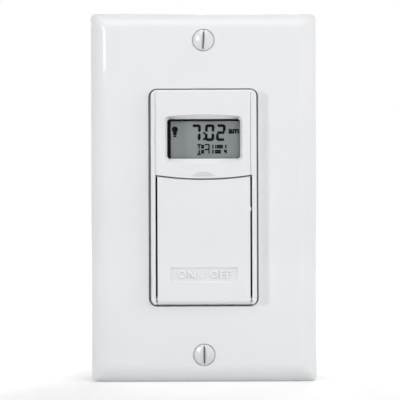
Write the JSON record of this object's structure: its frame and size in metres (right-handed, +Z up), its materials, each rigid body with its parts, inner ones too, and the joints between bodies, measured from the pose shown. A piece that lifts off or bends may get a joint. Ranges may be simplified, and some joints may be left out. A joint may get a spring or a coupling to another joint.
{
  "type": "timer light switch",
  "caption": "Wall-mounted timer light switch: a flat wall plate, a display module with a hinged press door over setting keys, and a relay switch body for a wall box.",
  "frame": {"origin": "middle of the wall plate, on the wall's face, midway between the two wall box screws", "axes": "+X to the right, +Y into the wall, +Z up; the display faces -Y"},
  "size_m": [0.0698, 0.0391, 0.1142],
  "materials": {
    "white_plastic": "satin moulded",
    "painted_screw": "white enamel",
    "zinc_steel": "zinc plated",
    "green_screw": "dyed zinc",
    "clear_lens": "clear moulded",
    "lcd_grey": "grey reflective display",
    "black_plastic": "moulded",
    "black_rubber": "matt",
    "grey_plastic": "moulded",
    "red_plastic": "moulded",
    "board_green": "solder mask",
    "brass": "bright",
    "copper_wire": "enamelled copper",
    "yellow_plastic": "moulded",
    "blue_sleeve": "sleeve",
    "tan_ceramic": "coated",
    "dark_plastic": "fine spark texture"
  },
  "bodies": {
    "root": {"wall_plate": "white_plastic", "plate_screws": "painted_screw", "mounting_strap": "zinc_steel", "box_screws": "zinc_steel", "ground_screw": "green_screw", "front_bezel": "white_plastic", "display_lens": "clear_lens", "lcd_frame": "black_plastic", "lcd_panel": "lcd_grey", "contact_strips": "black_rubber", "key_switches": "black_plastic", "control_board": "board_green", "controller_chip": "black_plastic", "clock_crystal": "zinc_steel", "control_board_screws": "zinc_steel", "battery_tray": "grey_plastic", "coin_cell": "zinc_steel", "battery_contacts": "brass", "header_strips": "black_plastic", "header_pins": "brass", "power_board": "board_green", "power_board_screws": "zinc_steel", "relay_base": "black_plastic", "relay_coil": "copper_wire", "relay_core": "zinc_steel", "relay_yoke": "zinc_steel", "relay_fixed_contact": "copper_wire", "relay_cover": "clear_lens", "film_capacitor": "yellow_plastic", "smoothing_capacitor": "blue_sleeve", "surge_varistor": "blue_sleeve", "fusible_resistor": "tan_ceramic", "bridge_rectifier": "black_plastic", "rear_housing": "dark_plastic", "terminal_plates": "brass", "wire_clamps": "brass", "terminal_screws": "brass", "case_screws": "zinc_steel"},
    "hinge_pin": {"hinge_pin": "zinc_steel"},
    "door": {"door": "white_plastic"},
    "on_off_key": {"on_off_key": "grey_plastic", "on_off_plunger": "black_plastic"},
    "mode_key": {"mode_key": "grey_plastic", "mode_plunger": "black_plastic"},
    "minus_key": {"minus_key": "grey_plastic", "minus_plunger": "black_plastic"},
    "plus_key": {"plus_key": "grey_plastic", "plus_plunger": "black_plastic"},
    "reset_key": {"reset_key": "red_plastic", "reset_plunger": "black_plastic"},
    "relay_armature": {"relay_armature": "zinc_steel", "relay_moving_contact": "copper_wire"}
  },
  "joints": [
    {"name": "door_press", "type": "slide", "parent": "root", "child": "hinge_pin", "axis": [0, 1, 0], "range_m": [0, 0.0005], "stiffness_N_per_m": 3000},
    {"name": "door_open", "type": "hinge", "parent": "hinge_pin", "child": "door", "pos_m": [0, -0.006, -0.0314], "axis": [1, 0, 0], "range_deg": [0, 110]},
    {"name": "on_off_press", "type": "slide", "parent": "root", "child": "on_off_key", "axis": [0, 1, 0], "range_m": [0, 0.0005]},
    {"name": "mode_press", "type": "slide", "parent": "root", "child": "mode_key", "axis": [0, 1, 0], "range_m": [0, 0.0005], "stiffness_N_per_m": 3000},
    {"name": "minus_press", "type": "slide", "parent": "root", "child": "minus_key", "axis": [0, 1, 0], "range_m": [0, 0.0005], "stiffness_N_per_m": 3000},
    {"name": "plus_press", "type": "slide", "parent": "root", "child": "plus_key", "axis": [0, 1, 0], "range_m": [0, 0.0005], "stiffness_N_per_m": 3000},
    {"name": "reset_press", "type": "slide", "parent": "root", "child": "reset_key", "axis": [0, 1, 0], "range_m": [0, 0.0005], "stiffness_N_per_m": 3000},
    {"name": "relay_tilt", "type": "hinge", "parent": "root", "child": "relay_armature", "pos_m": [-0.0055, 0.00935, 0.0199], "axis": [1, 0, 0], "range_deg": [0, 3], "stiffness_Nm_per_rad": 0.05}
  ],
  "couplings": [
    {"joint": "on_off_press", "follows": "door_press", "ratio": 1}
  ]
}
